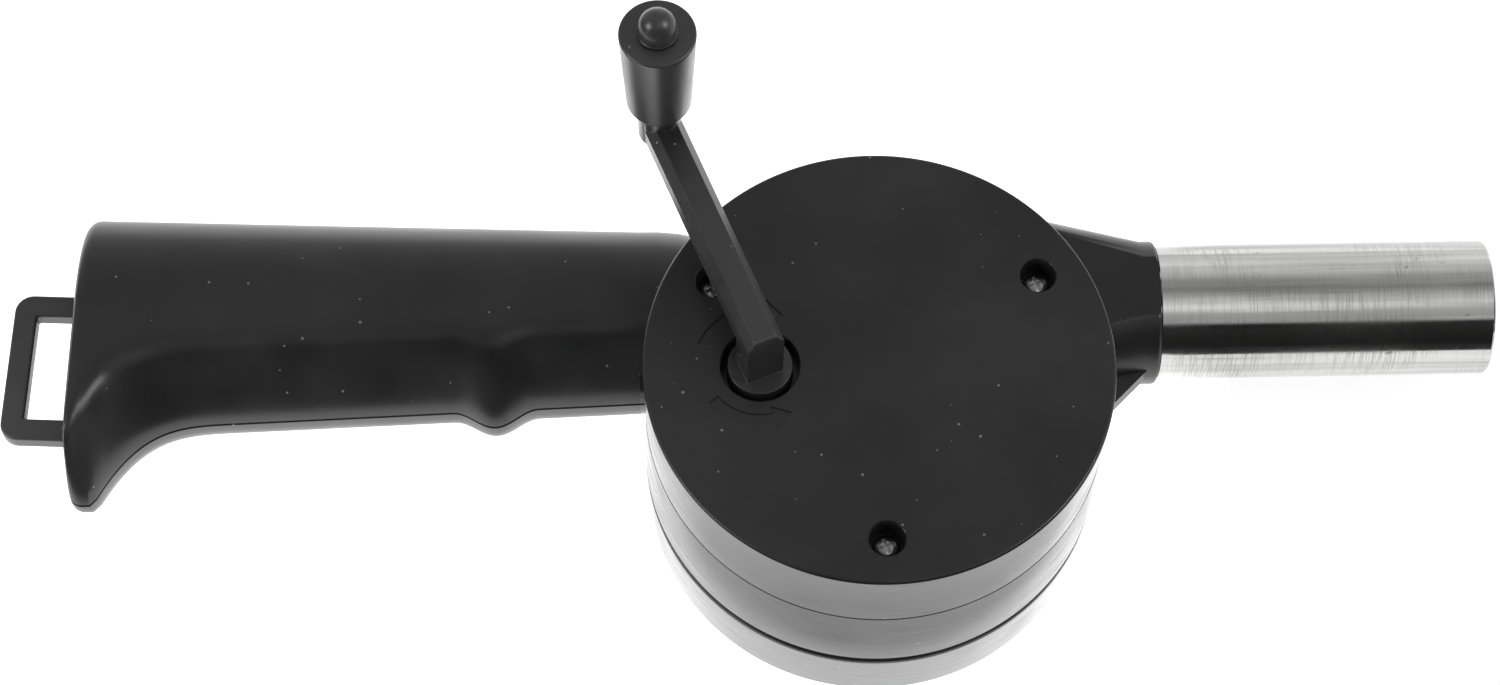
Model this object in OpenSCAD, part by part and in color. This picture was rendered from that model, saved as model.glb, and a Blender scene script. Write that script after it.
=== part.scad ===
// Hand crank air blower: a drum with a centrifugal fan and a two-stage gear train, a moulded
// two-half handle, a steel blow tube and a crank with a spinning knob.
// Millimetres. The origin is on the drum axis at the underside of the base, +X points to the
// nozzle, +Z points up along the drum to the crank side.

/* [Drum] */
// Outer radius of the drum
drum_r = 36.5; // [35:0.5:40]
// Height of the drum
drum_h = 48; // [47:0.5:54]
// Wall of the mouldings
wall = 2; // [1.6:0.1:2.4]
// Thickness of the base floor
floor_t = 2.4; // [2:0.1:3]
// Thickness of the gear cover top
cover_t = 2.4; // [2:0.1:3]
// Height of the seam between the two housing halves
seam_z = 15.5; // [14.5:0.5:17]
// Height of the shadow groove at the drum seam
groove_h = 1; // [0.6:0.1:1.4]
// Depth of the shadow groove
groove_d = 1.1; // [0.8:0.05:1.2]
// Height of the gear cover
cover_h = 15.5; // [15.2:0.1:16.5]
// Rounding of the base edge
base_round = 1.6; // [1:0.1:2.5]
// Rounding of the cover edge
cover_round = 0.8; // [0.4:0.1:1.4]
// Height of the locating lips at both joints
lip_h = 1.5; // [1:0.1:2]

/* [Inlet] */
// Number of inlet slots in the base
slot_count = 16; // [10:1:18]
// Width of an inlet slot
slot_w = 2.2; // [1.6:0.1:2.6]
// Inner radius of the ring of slots
slot_in = 9; // [8:0.5:10]
// Outer radius of the ring of slots
slot_out = 20; // [16:0.5:22]

/* [Fasteners] */
// Radius of the circle of drum screws
screw_ring = 29.2; // [29:0.1:29.6]
// Radius of a screw shank
screw_r = 1.45; // [1.2:0.05:1.6]
// Radius of a screw head
head_r = 2.2; // [2:0.05:2.6]
// Height of a screw head
head_h = 2.1; // [1.6:0.1:2.4]
// Radius of the counterbores
bore_r = 2.8; // [2.75:0.05:3]
// Depth of the cover counterbores above the screw heads
cover_sink = 2.8; // [2.4:0.1:3.6]
// Radius of a slim screw post
post_r = 2.7; // [2.5:0.05:2.9]
// Wall around a counterbore
bore_wall = 1.2; // [1:0.05:1.4]

/* [Blow tube] */
// Outer radius of the steel tube
tube_r = 11; // [10:0.25:12]
// Wall of the steel tube
tube_wall = 0.7; // [0.5:0.05:1]
// Visible length of the steel tube
tube_l = 54.4; // [40:0.2:80]
// Distance of the tube axis behind the drum axis
tube_y = 23.6; // [22.5:0.1:24]
// Where the neck ends and the tube starts
neck_x = 47.6; // [46:0.2:52]
// Length of the spigot inside the tube
spigot_l = 12; // [8:0.5:16]
// Half height of the flat faces of the neck
neck_flat = 10.6; // [10.2:0.1:11]
// Half width of the neck where it leaves the drum
neck_half_w = 14.5; // [13.5:0.1:15]
// Height of the web between neck and drum above the seam
web_up = 2.2; // [1.5:0.1:3]

/* [Handle] */
// Distance of the handle end from the drum axis
handle_end = 128.4; // [120:0.2:150]
// Half width on the finger side at the drum
front_drum = 15; // [14:0.1:16]
// Half width on the finger side at the far end
front_end = 18.2; // [16:0.1:20]
// Half width on the back side at the drum
back_drum = 15.2; // [14:0.1:16]
// Half width on the back side at the far end
back_end = 19.3; // [17:0.1:22]
// Step from the parting line of the cover down to the top of the handle
handle_step = 4.5; // [3.5:0.1:6]
// Height of the handle below the seam
handle_down = 12.5; // [11:0.1:13.5]
// Upright band of the lower half under the seam
band_h = 1.2; // [0.8:0.1:3]
// Distance of the finger bump from the drum axis
bump_x = 60.8; // [56:0.2:66]
// Height of the finger bump
bump_h = 2.9; // [1.5:0.1:3.5]
// Half length of the finger bump
bump_half = 7; // [5:0.5:9]
// Drop of the beak at the end of the handle
beak_drop = 13.2; // [8:0.2:15]
// Length of the beak curve
beak_l = 23.5; // [18:0.5:28]
// Rounding of the handle end
end_round = 3; // [2:0.2:4]
// Length over which the top and bottom of the handle curve down to its end
end_fall = 2; // [1:0.5:6]

/* [Hanging loop] */
// Width of the loop across the handle
loop_w = 26; // [22:0.2:28]
// Reach of the loop beyond the handle end
loop_out = 12; // [9:0.2:14]
// Width of the loop bar
loop_bar = 3.8; // [3:0.1:5]
// Thickness of the loop
loop_t = 3; // [2.4:0.1:4]
// Distance of the loop's middle behind the drum axis
loop_y = 16.1; // [15:0.1:19]
// Tilt of the loop to the finger side, in degrees
loop_tilt = 3; // [0:0.5:5]

/* [Gears] */
// Tooth size of all gears
gear_module = 0.6; // [0.58:0.01:0.62]
// Teeth of the crank gear
crank_teeth = 40; // [38:1:41]
// Teeth of both pinions
pinion_teeth = 12; // [12:1:13]
// Teeth of the idler wheel
idler_teeth = 38; // [36:1:39]
// Width of the gear teeth
gear_w = 4; // [3:0.2:4.2]
// Play between the teeth of a pair
backlash = 0.2; // [0.1:0.02:0.3]

/* [Fan] */
// Radius of the impeller
fan_r = 24; // [20:0.5:24.5]
// Number of impeller blades
blade_count = 12; // [8:1:14]
// Thickness of the blades
blade_t = 1.2; // [0.8:0.1:1.6]
// Radius of the air eye inside the blades
eye_r = 9; // [8:0.5:11]
// Radius of the impeller shaft
shaft_r = 1.5; // [1.25:0.05:1.75]
// Outer radius of the shaft bushes
bush_r = 3; // [2.6:0.1:3.2]

/* [Crank] */
// Distance of the crank axis from the drum axis
crank_off = 18.4; // [18:0.1:19]
// Direction of the crank at rest, from the back towards the handle
crank_turn = 21.4; // [0:0.1:45]
// Crank radius from the crank axis to the knob axis
crank_l = 40.6; // [34:0.2:46]
// Radius of the crank spindle
spindle_r = 4.975; // [4.6:0.025:5.1]
// Radius of the recess around the spindle
recess_r = 6.1; // [5.8:0.1:6.6]
// Gap between the cover and the underside of the crank arm
arm_lift = 6.8; // [4:0.1:8]
// Height of the crank arm
arm_h = 5.4; // [5:0.1:7]
// Width of the crank arm at its underside
arm_w = 5.9; // [5:0.1:7]
// Width of the crank arm at its top
arm_top_w = 3.5; // [3:0.1:4.5]
// Height of the knob
knob_h = 22.2; // [18:0.1:28]
// Radius of the knob at its top
knob_r = 5.9; // [5.4:0.1:7]
// Radius of the knob at its foot
knob_foot_r = 5.1; // [4.4:0.1:6]
// Radius of the knob pin
pin_r = 1.75; // [1.5:0.05:2]
// Radius of the domed head of the knob pin
ball_r = 2.9; // [2.5:0.1:3.4]

/* [Fits] */
// Radial running clearance of shafts
run_fit = 0.03; // [0.02:0.01:0.06]
// Clearance between flat running faces
play = 0.3; // [0.2:0.05:0.4]
// Clearance of mouldings that locate each other
seat_fit = 0.05; // [0.03:0.01:0.1]

/* [Hidden] */

$fn = 64;
EPS = 0.01;
BIG = 400;
BLACK = "#202022";
STEEL = "#c4c6c8";
NATURAL = "#e4e0d4";
BRONZE = "#b08a4a";

// Levels of the drum, from the base up
inner_r = drum_r - wall;
cover_z = drum_h - cover_h;
handle_up = cover_z - seam_z - handle_step;
rim_low = seam_z - groove_h / 2;
rim_high = seam_z + groove_h / 2;
lip_r = drum_r - groove_d;
lip_top = rim_high + lip_h;
deck_t = wall;
deck_sink = 3;
deck_top = cover_z - deck_sink;
deck_low = deck_top - deck_t;
cover_under = drum_h - cover_t;
gear_low = deck_top + 2;
gear_mid = gear_low + gear_w;
gear_high = gear_mid + 1;
gear_end = gear_high + gear_w;
hub_top = gear_end + 0.6;
boss_low = hub_top + play;

// Places of the gear axes: the idler closes the triangle of the two centre distances
crank_pos = [-crank_off, 0];
reach_crank = gear_module * (crank_teeth + pinion_teeth) / 2;
reach_fan = gear_module * (idler_teeth + pinion_teeth) / 2;
idler_x = -(crank_off * crank_off + reach_fan * reach_fan - reach_crank * reach_crank) / (2 * crank_off);
idler_pos = [idler_x, -sqrt(reach_fan * reach_fan - idler_x * idler_x)];
crank_to_idler = atan2(idler_pos[1], idler_pos[0] + crank_off);
idler_to_crank = atan2(-idler_pos[1], -idler_pos[0] - crank_off);
idler_to_fan = atan2(-idler_pos[1], -idler_pos[0]);
fan_to_idler = atan2(idler_pos[1], idler_pos[0]);
pressure_angle = 25;
gap_turn = 180 / pinion_teeth;
axle_r = 1.25;
axle_boss_r = 2.7;

// Screws
screw_angles = [30, 150, 270];
screw_spots = [for (a = screw_angles) screw_ring * [cos(a), sin(a)]];
handle_screw_x = [-52, -104];
handle_screw_spots = [for (x = handle_screw_x) [x, tube_y]];
cover_seat = drum_h - cover_sink - head_h;
cover_screw_l = 10;
housing_seat = 2.5 * floor_t;
housing_screw_l = 16;
handle_seat = seam_z - 0.6 * handle_down;
handle_screw_l = seam_z - handle_seat + 0.52 * handle_up;
bore_post_r = bore_r + bore_wall;
cross_w = 0.7;
cross_l = 3;
cross_d = 1.1;

// Shaft, bushes and impeller
shaft_low = floor_t / 2;
bush_wall = 1.6;
bush_boss_r = bush_r + bush_wall;
lower_bush_top = floor_t + 2.6;
upper_bush_low = deck_low - 1;
upper_bush_top = deck_top + 0.5;
thrust_gap = 0.1;
washer_t = 0.5;
washer_r = shaft_r + 1.1;
shaft_top = gear_mid + 0.7;
fan_low = lower_bush_top + 0.4;
fan_top = upper_bush_low - 2;
fan_disc_t = 1.2;
fan_hub_r = shaft_r + 2.5;

// Neck and duct
spigot_r = tube_r - tube_wall - seat_fit;
duct_r = spigot_r - 1.6;
neck_r = tube_r + 0.8;
neck_edge = 0.8;
neck_root = 6.5;
neck_from = drum_r - neck_root;
neck_corner = 8;
neck_half_h = neck_flat + 1.4;
neck_blocks = [[neck_from, neck_half_w], [6, drum_r - tube_y - 0.5]];
duct_from = 12;
web_point = neck_x - 2.2;
web_y = tube_y - neck_r + 0.1;
web_run = 9.3;

// Crank
recess_d = 3.6;
recess_floor = drum_h - recess_d;
drive_w = 5;
crank_screw_r = 1.25;
crank_head_r = 2.3;
crank_washer_r = 3.3;
crank_washer_t = 0.6;
crank_screw_sink = 4;
crank_screw_top = drum_h - crank_screw_sink;
arm_low = drum_h + arm_lift;
arm_top = arm_low + arm_h;
arm_front = 2.2;
arm_slope = 1.6;
post_back = 2.6;
post_w = 5.9;
knob_gap = 1.9;
knob_low = arm_top + knob_gap;
knob_top = knob_low + knob_h;
boss_r = 3.4;
pin_low = arm_low;
ball_lift = ball_r - 1.3;
ball_foot_r = ball_r - 0.1;
knob_edge = 0.4;
knob_chamfer = 1.4;
knob_chamfer_h = 2.8;

// Handle
handle_root = -34;
handle_in = -14;
section_steps = 16;
round_power = 2.3;
beak_power = 3.6;
beak_flat = 2.2;
beak_tip = handle_end - beak_flat;
cavity_from = -(handle_end - wall - end_fall);
cavity_step = 4.5;
cavity_to = -(drum_r + cavity_step);
end_drop = 0.13;
end_skew = 0.026;
skew_l = 30;
front_corner = 0.25;

function mix(a, b, t) = a + (b - a) * t;
function clamp(v) = min(1, max(0, v));

// Half widths and heights of the handle at a place along it
function along(x) = clamp((-x - drum_r) / (handle_end - drum_r));
function bump(x) = abs(x + bump_x) < bump_half ? bump_h * pow(cos(90 * (x + bump_x) / bump_half), 2) : 0;
function beak(x) = beak_drop * pow(clamp((-x - beak_tip + beak_l) / beak_l), beak_power);
function quarter(x, run) = let (e = 1 - clamp((x + handle_end) / run)) 1 - sqrt(1 - e * e);
function inset(x) = end_round * quarter(x, end_round);
function fall(x) = end_drop * handle_up * quarter(x, end_fall);
function tuck(x) = 7 * pow(clamp((x - handle_root) / (handle_in - handle_root)), 1.6);
function plain_front(x) = mix(front_drum, front_end, along(x));
function front_half(x) = plain_front(x) + bump(x) + beak(x) - inset(x);
function back_half(x) = mix(back_drum, back_end, along(x)) - tuck(x) - inset(x);

// One rounded arch from the finger side over to the back, up (side 1) or down (side -1)
function arch(front, back, rise, n) = [for (i = [0 : n])
    let (a = 180 * i / n, c = cos(a), s = sin(a))
    [-(c > 0 ? front : back) * sign(c) * pow(abs(c), 2 / round_power), rise * pow(abs(s), 2 / round_power)]];

// Finger side of the upper half, from the seam (i = 0) up: a rounding, a slope and a rounded top
function slope_y(i, low, half) =
    i <= low ? 1 - front_corner * pow(i / low, 2) : 2 * front_corner * (half - i) / (half - low - 1);
function slope_z(i, low, half) =
    i <= low ? 2 * front_corner * i / low : 1 - front_corner * pow((half - i) / (half - low - 1), 2);
function upper_arch(front, back, rise, n) = let (plain = arch(front, back, rise, n))
    [for (i = [0 : n]) i > n / 2 ? plain[i]
        : [-front * slope_y(i, n / 4, n / 2), rise * slope_z(i, n / 4, n / 2)]];

// The handle's end leans a little to the finger side
function skew(x) = end_skew * clamp((skew_l - handle_end - x) / skew_l);

// Section of the upper half, closed along the seam
function upper_section(x) = [
    for (p = upper_arch(front_half(x), back_half(x), handle_up - fall(x), section_steps))
    [x + skew(x) * p[0], tube_y + p[0], seam_z + p[1]]];

// Section of the lower half: an upright band under the seam, then the arch
function lower_section(x) = let (band = band_h)
    concat([[x - skew(x) * front_half(x), tube_y - front_half(x), seam_z]],
        [for (p = arch(front_half(x), back_half(x), handle_down - band - fall(x), section_steps))
            [x + skew(x) * p[0], tube_y + p[0], seam_z - band - p[1]]],
        [[x + skew(x) * back_half(x), tube_y + back_half(x), seam_z]]);

// Section of the hollow inside both halves
function hollow_section(x) = let (
        f = plain_front(x) - wall,
        b = mix(back_drum, back_end, along(x)) - wall,
        up = upper_arch(f, b, handle_up - wall, 8),
        down = arch(f, b, handle_down - band_h - wall, 8))
    concat([for (p = up) [x, tube_y + p[0], seam_z + p[1]]],
        [for (i = [8 : -1 : 0]) [x, tube_y + down[i][0], seam_z - band_h - down[i][1]]]);

handle_stations = concat(
    [for (e = [0, 0.08, 0.28, 0.6]) -handle_end + end_round * e],
    [for (i = [0 : 9]) mix(-handle_end + end_round, -beak_tip + beak_l, i / 9)],
    [for (i = [1 : 3]) mix(-beak_tip + beak_l, -bump_x - bump_half, i / 3)],
    [for (i = [1 : 8]) -bump_x + bump_half * (i / 4 - 1)],
    [for (i = [1 : 3]) mix(-bump_x + bump_half, handle_root, i / 3)],
    [for (i = [1 : 4]) mix(handle_root, handle_in, i / 4)]);
hollow_stations = [for (i = [0 : 6]) mix(cavity_from, cavity_to, i / 6)];

// Solid through a row of closed sections with the same number of points
module loft(sections, flip = false) {
    n = len(sections[0]);
    m = len(sections);
    points = [for (s = sections) each s];
    sides = [for (j = [0 : m - 2], i = [0 : n - 1], k = [0, 1])
        let (a = j * n + i, b = j * n + (i + 1) % n)
        k == 0 ? [a, b, b + n] : [a, b + n, a + n]];
    caps = [[for (i = [n - 1 : -1 : 0]) i], [for (i = [0 : n - 1]) (m - 1) * n + i]];
    faces = concat(sides, caps);
    polyhedron(points, flip ? [for (f = faces) [for (i = [len(f) - 1 : -1 : 0]) f[i]]] : faces);
}

// Disc with a rounded lower edge
module rounded_disc(r, h, round) {
    rotate_extrude() {
        square([r - round, h]);
        translate([0, round]) square([r, h - round]);
        translate([r - round, round]) circle(round);
    }
}

module ring(r_out, r_in, h) {
    difference() {
        cylinder(r = r_out, h = h);
        translate([0, 0, -1]) cylinder(r = r_in, h = h + 2);
    }
}

module at(spots, z = 0) {
    for (p = spots) translate([p[0], p[1], z]) children();
}

// Round bar along X on the tube axis
module tube_bar(r, from, to) {
    translate([from, tube_y, seam_z]) rotate([0, 90, 0]) cylinder(r = r, h = to - from);
}

// Neck: flat above and below, growing from the round tube end to a rounded block that runs
// on behind the drum around the duct
module neck_body() {
    intersection() {
        hull($fn = 40) {
            tube_bar(neck_r - 0.6, neck_x - neck_edge, neck_x);
            tube_bar(neck_r, neck_x - 3 * neck_edge, neck_x - 2 * neck_edge);
            for (block = neck_blocks, u = [-1, 1], v = [-1, 1]) {
                translate([block[0], tube_y + u * (block[1] - neck_corner),
                        seam_z + v * (neck_half_h - neck_corner)])
                    rotate([0, 90, 0]) cylinder(r = neck_corner, h = 0.5, $fn = 32);
            }
        }
        translate([0, -BIG / 2, seam_z - neck_flat]) cube([BIG, BIG, 2 * neck_flat]);
    }
    tube_bar(spigot_r, neck_x - 1, neck_x + spigot_l);
}

// Triangular web in the corner between neck and drum
module web(z, h) {
    translate([0, 0, z]) linear_extrude(h) polygon([
        [web_point, web_y], [web_point, tube_y], [neck_from, tube_y],
        [neck_from, web_y - web_run], [web_point - web_run, web_y - web_run]
    ]);
}

module above_seam() {
    translate([-BIG / 2, -BIG / 2, seam_z]) cube(BIG);
}

module below_seam() {
    translate([-BIG / 2, -BIG / 2, seam_z - BIG]) cube(BIG);
}

// Pockets for the loop in the end walls of both handle halves
module loop_pocket() {
    translate([0, 0, seam_z - loop_t / 2]) linear_extrude(loop_t) loop_outline(seat_fit);
}

module loop_outline(grow = 0) {
    round = 3;
    half = loop_w / 2 + grow;
    from = -handle_end - loop_out - grow;
    to = -handle_end + wall + end_fall + loop_bar + grow;
    translate([-handle_end, loop_y]) rotate(-loop_tilt) translate([handle_end, -loop_y]) difference() {
        translate([0, loop_y]) {
            translate([from + round, -half]) square([to - from - 2 * round, 2 * half]);
            translate([from, round - half]) square([to - from, 2 * (half - round)]);
            for (x = [from + round, to - round], y = [round - half, half - round]) {
                translate([x, y]) circle(round);
            }
        }
        translate([from + loop_bar + 2 * grow, loop_y - half + loop_bar + 2 * grow])
            square([to - from - 2 * loop_bar - 4 * grow, 2 * (half - loop_bar - 2 * grow)]);
    }
}

// Screw with a flat head and a cross recess, its seat at z = 0, the shank pointing up
module screw(length, shank = screw_r, head = head_r, height = head_h) {
    difference() {
        union() {
            cylinder(r = shank, h = length);
            translate([0, 0, -height]) cylinder(r = head, h = height);
        }
        for (a = [0, 90]) {
            rotate(a) translate([-cross_l / 2, -cross_w / 2, -height - 1])
                cube([cross_l, cross_w, cross_d + 1]);
        }
    }
}

// Involute gear outline with straight roots
function roll(r, base) = let (t = sqrt(max(0, pow(r / base, 2) - 1))) t * 180 / PI - atan(t);
function tooth_half(r, pitch, teeth) = let (base = pitch * cos(pressure_angle))
    90 / teeth - backlash / 4 / pitch * 180 / PI + roll(pitch, base) - roll(max(r, base), base);

module gear_outline(teeth) {
    pitch = gear_module * teeth / 2;
    root = pitch - 1.25 * gear_module;
    tip = pitch + gear_module;
    foot = max(root, pitch * cos(pressure_angle));
    radii = [root, foot, mix(foot, tip, 0.35), mix(foot, tip, 0.7), tip];
    polygon([for (i = [0 : teeth - 1], j = [0 : 9])
        let (r = radii[j < 5 ? j : 9 - j], side = j < 5 ? -1 : 1,
            a = i * 360 / teeth + side * tooth_half(r, pitch, teeth))
        r * [cos(a), sin(a)]]);
}

module gear(teeth, width, turn) {
    rotate(turn) linear_extrude(width) gear_outline(teeth);
}

module inlet_slots() {
    for (i = [0 : slot_count - 1]) {
        rotate(i * 360 / slot_count) translate([0, 0, -1]) linear_extrude(floor_t + 2) {
            translate([slot_in, -slot_w / 2]) square([slot_out - slot_in, slot_w]);
            for (r = [slot_in, slot_out]) translate([r, 0]) circle(d = slot_w, $fn = 24);
        }
    }
}

// Base half: drum floor, lower neck and lower handle shell in one moulding
module lower_housing() {
    color(BLACK) difference() {
        union() {
            difference() {
                union() {
                    rounded_disc(drum_r, rim_low, base_round);
                    cylinder(r = lip_r, h = lip_top - seat_fit);
                    intersection() {
                        neck_body();
                        below_seam();
                    }
                    web(seam_z - band_h, band_h);
                    loft([for (x = handle_stations) lower_section(x)], true);
                }
                translate([0, 0, floor_t]) cylinder(r = inner_r, h = BIG);
                tube_bar(duct_r, duct_from, neck_x + spigot_l + 1);
                loft([for (x = hollow_stations) hollow_section(x)]);
            }
            at(screw_spots, floor_t - EPS) cylinder(r = bore_post_r, h = seam_z - floor_t + EPS);
            at(handle_screw_spots, seam_z - handle_down + wall / 2)
                cylinder(r = bore_post_r, h = handle_down - wall / 2);
            translate([0, 0, floor_t - EPS]) cylinder(r = bush_boss_r, h = lower_bush_top - floor_t + EPS);
        }
        translate([0, 0, shaft_low]) cylinder(r = bush_r, h = BIG);
        at(screw_spots, -1) cylinder(r = bore_r, h = housing_seat + 1);
        at(screw_spots, -1) cylinder(r = screw_r, h = BIG);
        at(handle_screw_spots, -1) cylinder(r = bore_r, h = handle_seat + 1);
        at(handle_screw_spots, -1) cylinder(r = screw_r, h = BIG);
        inlet_slots();
        loop_pocket();
    }
}

// Crank-side half: drum wall with the gear deck, upper neck and upper handle shell
module upper_housing() {
    color(BLACK) difference() {
        union() {
            difference() {
                union() {
                    translate([0, 0, rim_high]) cylinder(r = drum_r, h = cover_z - rim_high);
                    translate([0, 0, rim_high])
                        cylinder(r = inner_r - seat_fit, h = cover_z + lip_h - rim_high);
                    intersection() {
                        neck_body();
                        above_seam();
                    }
                    web(seam_z, web_up);
                    loft([for (x = handle_stations) upper_section(x)]);
                }
                translate([0, 0, -1]) cylinder(r = lip_r + seat_fit, h = lip_top + 1);
                translate([0, 0, -1]) cylinder(r = inner_r, h = deck_low + 1);
                translate([0, 0, deck_top]) cylinder(r = inner_r - seat_fit - wall, h = BIG);
                tube_bar(duct_r, duct_from, neck_x + spigot_l + 1);
                loft([for (x = hollow_stations) hollow_section(x)]);
            }
            at(screw_spots, seam_z) cylinder(r = post_r, h = boss_low - seam_z);
            at(handle_screw_spots, seam_z) cylinder(r = post_r, h = handle_up - wall / 2);
            translate([0, 0, upper_bush_low]) cylinder(r = bush_boss_r, h = upper_bush_top - upper_bush_low);
            at([idler_pos], deck_top - EPS) cylinder(r = axle_boss_r, h = gear_low - play - deck_top);
            at([crank_pos], deck_top - EPS) cylinder(r = axle_boss_r, h = gear_low + 2 - deck_top);
        }
        translate([0, 0, upper_bush_low - 1]) cylinder(r = bush_r, h = BIG);
        at(screw_spots, seam_z - 1) cylinder(r = screw_r, h = housing_seat + housing_screw_l + 2 - seam_z);
        at(screw_spots, cover_seat - cover_screw_l - 1) cylinder(r = screw_r, h = BIG);
        at(handle_screw_spots, seam_z - 1)
            cylinder(r = screw_r, h = handle_seat + handle_screw_l + 2 - seam_z);
        at([idler_pos], deck_low + 0.5) cylinder(r = axle_r, h = BIG);
        loop_pocket();
    }
}

// Cover over the gears, with deep screw counterbores and the bearing of the crank
module gear_cover() {
    color(BLACK) difference() {
        union() {
            difference() {
                translate([0, 0, drum_h]) mirror([0, 0, 1])
                    rounded_disc(drum_r, drum_h - cover_z, cover_round);
                translate([0, 0, cover_z - 1]) cylinder(r = inner_r, h = cover_under - cover_z + 1);
            }
            at(screw_spots, boss_low) cylinder(r = bore_post_r, h = cover_under + EPS - boss_low);
            at([crank_pos], boss_low) cylinder(r = recess_r + wall, h = cover_under + EPS - boss_low);
            at([idler_pos], boss_low) cylinder(r = axle_boss_r, h = cover_under + EPS - boss_low);
        }
        at(screw_spots, cover_seat) cylinder(r = bore_r, h = BIG);
        at(screw_spots, boss_low - 1) cylinder(r = screw_r, h = BIG);
        at([crank_pos], boss_low - 1) cylinder(r = spindle_r + run_fit, h = BIG);
        at([crank_pos], recess_floor) cylinder(r = recess_r, h = BIG);
        at([idler_pos], boss_low - 1) cylinder(r = axle_r, h = cover_under + 0.5 - boss_low + 1);
    }
}

module air_tube() {
    color(STEEL) difference() {
        tube_bar(tube_r, neck_x, neck_x + tube_l);
        tube_bar(tube_r - tube_wall, neck_x - 1, neck_x + tube_l + 1);
    }
}

module hanging_loop() {
    color(BLACK) translate([0, 0, seam_z - loop_t / 2]) linear_extrude(loop_t) loop_outline();
}

module cover_screws() {
    color(STEEL) at(screw_spots, cover_seat) mirror([0, 0, 1]) screw(cover_screw_l);
}

module housing_screws() {
    color(STEEL) at(screw_spots, housing_seat) screw(housing_screw_l);
}

module handle_screws() {
    color(STEEL) at(handle_screw_spots, handle_seat) screw(handle_screw_l);
}

module lower_bush() {
    color(BRONZE) translate([0, 0, shaft_low]) ring(bush_r, shaft_r + run_fit, lower_bush_top - shaft_low);
}

module upper_bush() {
    color(BRONZE) translate([0, 0, upper_bush_low])
        ring(bush_r, shaft_r + run_fit, upper_bush_top - upper_bush_low);
}

module impeller_shaft() {
    color(STEEL) translate([0, 0, shaft_low + run_fit])
        cylinder(r = shaft_r, h = shaft_top - shaft_low - run_fit);
}

// Open centrifugal wheel with straight blades, which blows with either way of cranking
module impeller() {
    color(NATURAL) difference() {
        union() {
            translate([0, 0, fan_top - fan_disc_t]) cylinder(r = fan_r, h = fan_disc_t);
            translate([0, 0, fan_low]) cylinder(r = fan_hub_r, h = fan_top - fan_low);
            for (i = [0 : blade_count - 1]) {
                rotate((i + 0.5) * 360 / blade_count) translate([eye_r, -blade_t / 2, fan_low])
                    cube([fan_r - eye_r - 0.4, blade_t, fan_top - fan_disc_t - fan_low + EPS]);
            }
        }
        cylinder(r = shaft_r, h = BIG);
    }
}

module impeller_pinion() {
    color(NATURAL) difference() {
        union() {
            translate([0, 0, gear_low]) gear(pinion_teeth, gear_w, fan_to_idler + gap_turn);
            translate([0, 0, upper_bush_top + thrust_gap + washer_t])
                cylinder(r = washer_r, h = gear_low - upper_bush_top - thrust_gap - washer_t + EPS);
        }
        cylinder(r = shaft_r, h = BIG);
    }
}

module shaft_washer() {
    color(STEEL) translate([0, 0, upper_bush_top + thrust_gap]) ring(washer_r, shaft_r, washer_t);
}

module idler_axle() {
    color(STEEL) at([idler_pos], deck_low + 0.5) cylinder(r = axle_r, h = cover_under + 0.4 - deck_low - 0.5);
}

// Compound wheel: the large teeth drive the fan pinion, the small teeth run on the crank gear
module idler_gear() {
    color(NATURAL) at([idler_pos]) difference() {
        union() {
            translate([0, 0, gear_low]) gear(idler_teeth, gear_w, idler_to_fan);
            translate([0, 0, gear_mid - EPS])
                gear(pinion_teeth, gear_end - gear_mid + EPS, idler_to_crank + gap_turn);
        }
        cylinder(r = axle_r + run_fit, h = BIG);
    }
}

module crank_gear() {
    color(NATURAL) at([crank_pos]) difference() {
        union() {
            translate([0, 0, gear_high]) gear(crank_teeth, gear_w, crank_to_idler);
            translate([0, 0, gear_end - EPS]) cylinder(r = recess_r, h = hub_top - gear_end + EPS);
        }
        translate([-drive_w / 2, -drive_w / 2, gear_high - 1]) cube([drive_w, drive_w, BIG]);
    }
}

module crank_washer() {
    color(STEEL) at([crank_pos], gear_high - crank_washer_t)
        ring(crank_washer_r, crank_screw_r, crank_washer_t);
}

module crank_screw() {
    color(STEEL) at([crank_pos], gear_high - crank_washer_t)
        screw(crank_screw_top - gear_high + crank_washer_t, crank_screw_r, crank_head_r, head_h - 0.4);
}

// Bar with upright sides and sloping top edges, from its underside at z to the top of the arm
module sloped_bar(width, z, back) {
    translate([0, back, 0]) rotate([90, 0, 0]) linear_extrude(back + arm_front) polygon([
        [-width / 2, z], [width / 2, z], [width / 2, arm_top - arm_slope],
        [arm_top_w / 2, arm_top], [-arm_top_w / 2, arm_top], [-width / 2, arm_top - arm_slope]
    ]);
}

// Crank: spindle with a square drive, a post and a bar with sloping top edges
module crank_arm() {
    color(BLACK) at([crank_pos]) difference() {
        union() {
            translate([0, 0, hub_top]) cylinder(r = spindle_r, h = drum_h - hub_top);
            translate([-drive_w / 2, -drive_w / 2, gear_high + 0.2])
                cube([drive_w, drive_w, hub_top - gear_high - 0.2 + EPS]);
            rotate(crank_turn) {
                sloped_bar(post_w, drum_h - EPS, post_back);
                sloped_bar(arm_w, arm_low, crank_l);
                translate([0, crank_l, arm_low]) cylinder(r = boss_r, h = knob_low - play - arm_low);
            }
        }
        translate([0, 0, gear_high - 1])
            cylinder(r = crank_screw_r, h = crank_screw_top + 0.5 - gear_high + 1);
        rotate(crank_turn) translate([0, crank_l, arm_low - 1]) cylinder(r = pin_r, h = BIG);
    }
}

module at_knob() {
    at([crank_pos]) rotate(crank_turn) translate([0, crank_l, 0]) children();
}

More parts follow.
